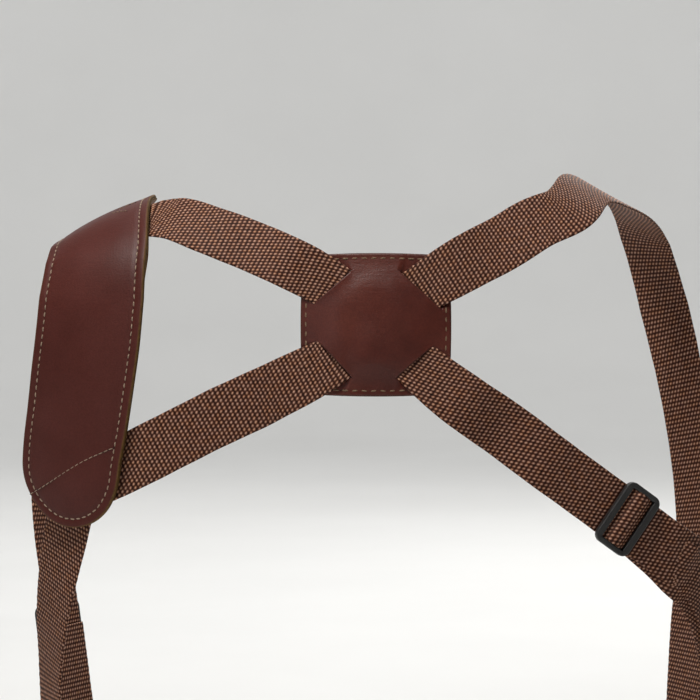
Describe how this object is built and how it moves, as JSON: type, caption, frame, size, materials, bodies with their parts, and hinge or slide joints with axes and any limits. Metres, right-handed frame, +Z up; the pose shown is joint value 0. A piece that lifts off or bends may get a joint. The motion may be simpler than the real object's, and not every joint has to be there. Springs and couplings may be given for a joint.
{
  "type": "suspenders",
  "caption": "X-back suspenders of brown woven webbing with a leather cross patch, a padded leather shoulder piece, sliding strap adjusters and clips at the waist.",
  "frame": {"origin": "on the wearer's midline, midway between the places on the two shoulders that the straps rest on", "axes": "+X towards the wearer's right, +Y the way the wearer faces, +Z up; the harness has the shape it takes when worn"},
  "size_m": [0.4152, 0.216, 0.4456],
  "materials": {
    "webbing": "coarse plain-weave webbing, brown with lighter grains",
    "leather": "smooth burgundy-brown leather, soft sheen",
    "lining_leather": "matte brown split leather",
    "felt": "dense dark felt",
    "slider_plastic": "moulded, satin black",
    "clip_metal": "antique nickel, brushed",
    "clip_spring_steel": "plain nickel",
    "grip_plastic": "ribbed, matte black"
  },
  "bodies": {
    "root": {"adjusting_strap": "webbing", "shoulder_strap": "webbing", "pad_strap": "webbing", "patch_outer": "leather", "patch_lining": "lining_leather", "pad_outer": "leather", "pad_felt": "felt", "pad_lining": "lining_leather"},
    "right_slider_body": {"right_slider": "slider_plastic", "right_slider_wrap": "webbing"},
    "left_slider_body": {"left_slider": "slider_plastic", "left_slider_wrap": "webbing"},
    "right_rear_clip": {"right_rear_clip_back": "clip_metal", "right_rear_clip_pin": "clip_spring_steel", "right_rear_clip_back_grip": "grip_plastic"},
    "right_rear_clip_lever_arm": {"right_rear_clip_lever": "clip_metal"},
    "right_rear_clip_front_jaw": {"right_rear_clip_jaw": "clip_spring_steel", "right_rear_clip_jaw_grip": "grip_plastic"},
    "right_front_clip": {"right_front_clip_back": "clip_metal", "right_front_clip_pin": "clip_spring_steel", "right_front_clip_back_grip": "grip_plastic"},
    "right_front_clip_lever_arm": {"right_front_clip_lever": "clip_metal"},
    "right_front_clip_front_jaw": {"right_front_clip_jaw": "clip_spring_steel", "right_front_clip_jaw_grip": "grip_plastic"},
    "left_rear_clip": {"left_rear_clip_back": "clip_metal", "left_rear_clip_pin": "clip_spring_steel", "left_rear_clip_back_grip": "grip_plastic"},
    "left_rear_clip_lever_arm": {"left_rear_clip_lever": "clip_metal"},
    "left_rear_clip_front_jaw": {"left_rear_clip_jaw": "clip_spring_steel", "left_rear_clip_jaw_grip": "grip_plastic"},
    "left_front_clip": {"left_front_clip_back": "clip_metal", "left_front_clip_pin": "clip_spring_steel", "left_front_clip_back_grip": "grip_plastic"},
    "left_front_clip_lever_arm": {"left_front_clip_lever": "clip_metal"},
    "left_front_clip_front_jaw": {"left_front_clip_jaw": "clip_spring_steel", "left_front_clip_jaw_grip": "grip_plastic"}
  },
  "joints": [
    {"name": "right_slider_slide", "type": "slide", "parent": "root", "child": "right_slider_body", "axis": [-0.7698, -0.2664, 0.5801], "range_m": [-0.006, 0.028]},
    {"name": "left_slider_slide", "type": "slide", "parent": "root", "child": "left_slider_body", "axis": [-0.1229, 0.0367, 0.9917], "range_m": [-0.008, 0.03]},
    {"name": "right_rear_clip_swing", "type": "hinge", "parent": "root", "child": "right_rear_clip", "pos_m": [0.19069, -0.02598, -0.38508], "axis": [-0.2924, -0.9562, 0.0163], "range_deg": [-15, 60]},
    {"name": "right_rear_clip_lever_turn", "type": "hinge", "parent": "right_rear_clip", "child": "right_rear_clip_lever_arm", "pos_m": [0.19584, -0.02785, -0.40239], "axis": [-0.2924, -0.9562, 0.0163], "range_deg": [0, 100]},
    {"name": "right_rear_clip_jaw_turn", "type": "hinge", "parent": "right_rear_clip", "child": "right_rear_clip_front_jaw", "pos_m": [0.19584, -0.02785, -0.40239], "axis": [-0.2924, -0.9562, 0.0163], "range_deg": [0, 12]},
    {"name": "right_front_clip_swing", "type": "hinge", "parent": "root", "child": "right_front_clip", "pos_m": [0.18091, 0.04778, -0.38506], "axis": [0.5293, -0.848, -0.028], "range_deg": [-15, 60]},
    {"name": "right_front_clip_lever_turn", "type": "hinge", "parent": "right_front_clip", "child": "right_front_clip_lever_arm", "pos_m": [0.18542, 0.05116, -0.40233], "axis": [0.5293, -0.848, -0.028], "range_deg": [0, 100]},
    {"name": "right_front_clip_jaw_turn", "type": "hinge", "parent": "right_front_clip", "child": "right_front_clip_front_jaw", "pos_m": [0.18542, 0.05116, -0.40233], "axis": [0.5293, -0.848, -0.028], "range_deg": [0, 12]},
    {"name": "left_rear_clip_swing", "type": "hinge", "parent": "root", "child": "left_rear_clip", "pos_m": [-0.18816, -0.03325, -0.38507], "axis": [-0.3728, 0.9277, -0.0205], "range_deg": [-15, 60]},
    {"name": "left_rear_clip_lever_turn", "type": "hinge", "parent": "left_rear_clip", "child": "left_rear_clip_lever_arm", "pos_m": [-0.19315, -0.03563, -0.40238], "axis": [-0.3728, 0.9277, -0.0205], "range_deg": [0, 100]},
    {"name": "left_rear_clip_jaw_turn", "type": "hinge", "parent": "left_rear_clip", "child": "left_rear_clip_front_jaw", "pos_m": [-0.19315, -0.03563, -0.40238], "axis": [-0.3728, 0.9277, -0.0205], "range_deg": [0, 12]},
    {"name": "left_front_clip_swing", "type": "hinge", "parent": "root", "child": "left_front_clip", "pos_m": [-0.18091, 0.04778, -0.38506], "axis": [0.5293, 0.848, 0.028], "range_deg": [-15, 60]},
    {"name": "left_front_clip_lever_turn", "type": "hinge", "parent": "left_front_clip", "child": "left_front_clip_lever_arm", "pos_m": [-0.18542, 0.05116, -0.40233], "axis": [0.5293, 0.848, 0.028], "range_deg": [0, 100]},
    {"name": "left_front_clip_jaw_turn", "type": "hinge", "parent": "left_front_clip", "child": "left_front_clip_front_jaw", "pos_m": [-0.18542, 0.05116, -0.40233], "axis": [0.5293, 0.848, 0.028], "range_deg": [0, 12]}
  ],
  "couplings": [
    {"joint": "right_rear_clip_jaw_turn", "follows": "right_rear_clip_lever_turn", "ratio": 0.12},
    {"joint": "right_front_clip_jaw_turn", "follows": "right_front_clip_lever_turn", "ratio": 0.12},
    {"joint": "left_rear_clip_jaw_turn", "follows": "left_rear_clip_lever_turn", "ratio": 0.12},
    {"joint": "left_front_clip_jaw_turn", "follows": "left_front_clip_lever_turn", "ratio": 0.12}
  ]
}
